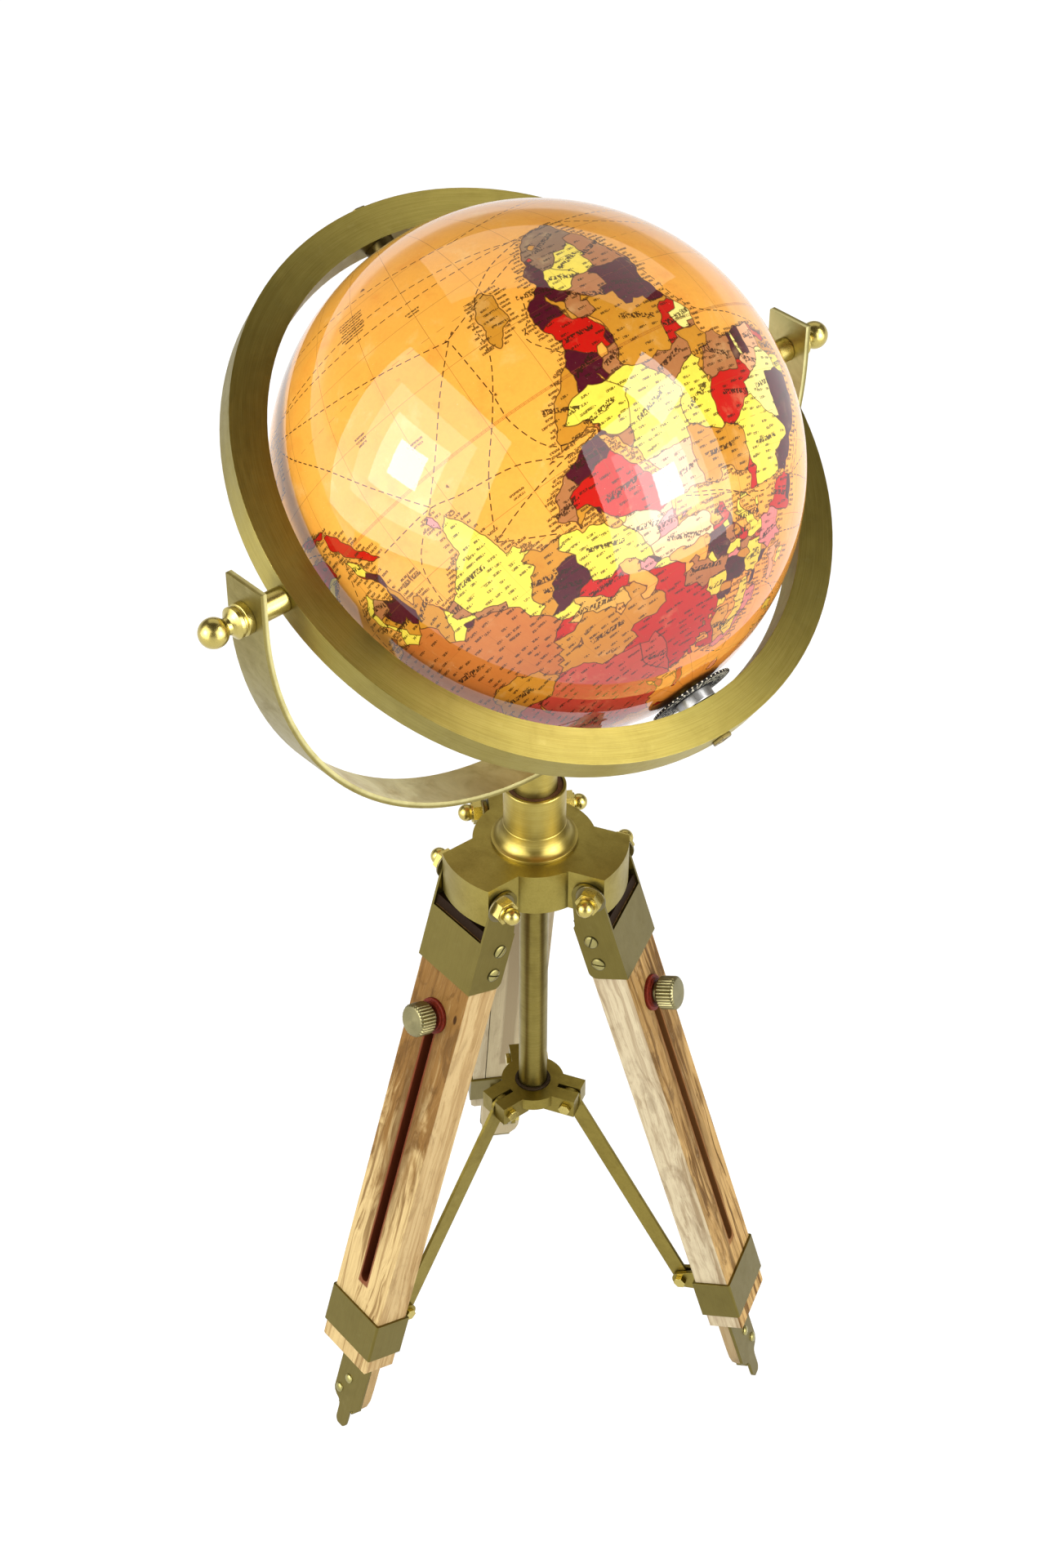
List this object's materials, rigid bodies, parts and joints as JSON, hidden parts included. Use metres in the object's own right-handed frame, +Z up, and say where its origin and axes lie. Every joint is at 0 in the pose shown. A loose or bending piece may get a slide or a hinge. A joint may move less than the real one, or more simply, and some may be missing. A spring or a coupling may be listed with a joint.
{
  "type": "desktop globe on tripod stand",
  "caption": "Political world globe in a tilting brass meridian ring and half-round swivel yoke, on a small folding wooden tripod with extending feet and brass fittings.",
  "frame": {"origin": "the point on the floor straight under the centre column and swivel axis", "axes": "+Z up along the column and the yoke's swivel axis; +X to the right and +Y away from a viewer who stands in front, with one leg to the front left, one to the right and one at the back"},
  "size_m": [0.2295, 0.2316, 0.5836],
  "materials": {
    "globe_paper": "gloss varnish over printed paper gores",
    "polished_brass": "polished",
    "ring_brass": "brushed in circles",
    "yoke_brass": "brushed lengthwise, slightly tarnished",
    "bright_steel": "nickel bright",
    "dark_brass": "darkened",
    "dial_black": "black with pale index marks",
    "turned_brass": "turned satin",
    "bush_fibre": "matt",
    "cast_brass": "satin, antiqued",
    "leg_wood": "light wood with brown streaks, oiled",
    "inner_wood": "light wood, oiled",
    "sheet_brass": "satin sheet",
    "spreader_brass": "satin, antiqued",
    "screw_brass": "satin",
    "red_fibre": "pressed fibre",
    "knob_brass": "knurled, satin face"
  },
  "bodies": {
    "root": {"head_casting": "cast_brass", "stem_socket": "turned_brass", "socket_bush": "bush_fibre", "center_column": "turned_brass", "hinge_bolts": "polished_brass", "hinge_washers": "bright_steel", "acorn_nuts": "polished_brass"},
    "yoke": {"yoke": "yoke_brass", "yoke_stem": "turned_brass", "yoke_screw": "polished_brass"},
    "ring": {"meridian_ring": "ring_brass", "axle_rod": "bright_steel", "axle_nuts": "dark_brass", "pole_spacers": "bright_steel", "hour_dial": "dial_black", "trunnion_studs": "polished_brass", "trunnion_spacers": "polished_brass"},
    "globe": {"globe_north_shell": "globe_paper", "globe_south_shell": "globe_paper", "pole_bushings": "polished_brass"},
    "finial_left": {"finial_left": "polished_brass"},
    "finial_right": {"finial_right": "polished_brass"},
    "spider": {"spider": "spreader_brass", "spider_bolts": "polished_brass"},
    "leg_left": {"leg_rail_left": "leg_wood", "hinge_bracket_left": "sheet_brass", "bracket_screws_left": "screw_brass", "ferrule_left": "sheet_brass", "strut_lug_left": "spreader_brass", "lug_bolt_left": "polished_brass"},
    "foot_left": {"inner_leg_left": "inner_wood", "foot_shoe_left": "sheet_brass", "shoe_screws_left": "screw_brass", "clamp_washer_left": "red_fibre"},
    "knob_left": {"clamp_knob_left": "knob_brass"},
    "strut_left": {"strut_left": "spreader_brass"},
    "leg_right": {"leg_rail_right": "leg_wood", "hinge_bracket_right": "sheet_brass", "bracket_screws_right": "screw_brass", "ferrule_right": "sheet_brass", "strut_lug_right": "spreader_brass", "lug_bolt_right": "polished_brass"},
    "foot_right": {"inner_leg_right": "inner_wood", "foot_shoe_right": "sheet_brass", "shoe_screws_right": "screw_brass", "clamp_washer_right": "red_fibre"},
    "knob_right": {"clamp_knob_right": "knob_brass"},
    "strut_right": {"strut_right": "spreader_brass"},
    "leg_back": {"leg_rail_back": "leg_wood", "hinge_bracket_back": "sheet_brass", "bracket_screws_back": "screw_brass", "ferrule_back": "sheet_brass", "strut_lug_back": "spreader_brass", "lug_bolt_back": "polished_brass"},
    "foot_back": {"inner_leg_back": "inner_wood", "foot_shoe_back": "sheet_brass", "shoe_screws_back": "screw_brass", "clamp_washer_back": "red_fibre"},
    "knob_back": {"clamp_knob_back": "knob_brass"},
    "strut_back": {"strut_back": "spreader_brass"}
  },
  "joints": [
    {"name": "yoke_swivel", "type": "hinge", "parent": "root", "child": "yoke", "pos_m": [0, 0, 0.33], "axis": [0, 0, 1], "continuous": true},
    {"name": "ring_tilt", "type": "hinge", "parent": "yoke", "child": "ring", "pos_m": [0, 0, 0.482], "axis": [0.6947, 0.7193, 0], "continuous": true},
    {"name": "globe_spin", "type": "hinge", "parent": "ring", "child": "globe", "pos_m": [0, 0, 0.482], "axis": [0.5992, -0.5786, -0.5534], "continuous": true},
    {"name": "finial_left_turn", "type": "hinge", "parent": "ring", "child": "finial_left", "pos_m": [-0.10072, -0.1043, 0.482], "axis": [0.6947, 0.7193, 0], "continuous": true},
    {"name": "finial_right_turn", "type": "hinge", "parent": "ring", "child": "finial_right", "pos_m": [0.10072, 0.1043, 0.482], "axis": [0.6947, 0.7193, 0], "continuous": true},
    {"name": "spider_slide", "type": "slide", "parent": "root", "child": "spider", "axis": [0, 0, 1], "range_m": [0, 0.012]},
    {"name": "leg_fold_left", "type": "hinge", "parent": "root", "child": "leg_left", "pos_m": [-0.02345, -0.02148, 0.2909], "axis": [0.6756, -0.7373, 0], "range_deg": [0, 10]},
    {"name": "foot_extend_left", "type": "slide", "parent": "leg_left", "child": "foot_left", "axis": [-0.218, -0.1998, -0.9553], "range_m": [0, 0.14]},
    {"name": "clamp_turn_left", "type": "hinge", "parent": "foot_left", "child": "knob_left", "pos_m": [-0.03762, -0.03447, 0.22881], "axis": [-0.7043, -0.6454, 0.2957], "continuous": true},
    {"name": "strut_swing_left", "type": "hinge", "parent": "leg_left", "child": "strut_left", "pos_m": [-0.05605, -0.05136, 0.05335], "axis": [0.6756, -0.7373, 0], "range_deg": [0, 12.7]},
    {"name": "leg_fold_right", "type": "hinge", "parent": "root", "child": "leg_right", "pos_m": [0.03033, -0.00956, 0.2909], "axis": [0.3007, 0.9537, 0], "range_deg": [0, 10]},
    {"name": "foot_extend_right", "type": "slide", "parent": "leg_right", "child": "foot_right", "axis": [0.282, -0.0889, -0.9553], "range_m": [0, 0.14]},
    {"name": "clamp_turn_right", "type": "hinge", "parent": "foot_right", "child": "knob_right", "pos_m": [0.04866, -0.01534, 0.22881], "axis": [0.9111, -0.2873, 0.2957], "continuous": true},
    {"name": "strut_swing_right", "type": "hinge", "parent": "leg_right", "child": "strut_right", "pos_m": [0.0725, -0.02286, 0.05335], "axis": [0.3007, 0.9537, 0], "range_deg": [0, 12.7]},
    {"name": "leg_fold_back", "type": "hinge", "parent": "root", "child": "leg_back", "pos_m": [-0.00688, 0.03105, 0.2909], "axis": [-0.9763, -0.2164, 0], "range_deg": [0, 10]},
    {"name": "foot_extend_back", "type": "slide", "parent": "leg_back", "child": "foot_back", "axis": [-0.064, 0.2887, -0.9553], "range_m": [0, 0.14]},
    {"name": "clamp_turn_back", "type": "hinge", "parent": "foot_back", "child": "knob_back", "pos_m": [-0.01104, 0.04981, 0.22881], "axis": [-0.2068, 0.9326, 0.2957], "continuous": true},
    {"name": "strut_swing_back", "type": "hinge", "parent": "leg_back", "child": "strut_back", "pos_m": [-0.01645, 0.07422, 0.05335], "axis": [-0.9763, -0.2164, 0], "range_deg": [0, 12.7]}
  ],
  "couplings": [
    {"joint": "leg_fold_right", "follows": "leg_fold_left", "ratio": 1},
    {"joint": "leg_fold_back", "follows": "leg_fold_left", "ratio": 1},
    {"joint": "strut_swing_left", "follows": "leg_fold_left", "ratio": 1.26},
    {"joint": "strut_swing_right", "follows": "leg_fold_left", "ratio": 1.26},
    {"joint": "strut_swing_back", "follows": "leg_fold_left", "ratio": 1.26},
    {"joint": "spider_slide", "follows": "leg_fold_left", "m_per_rad": 0.0647}
  ]
}
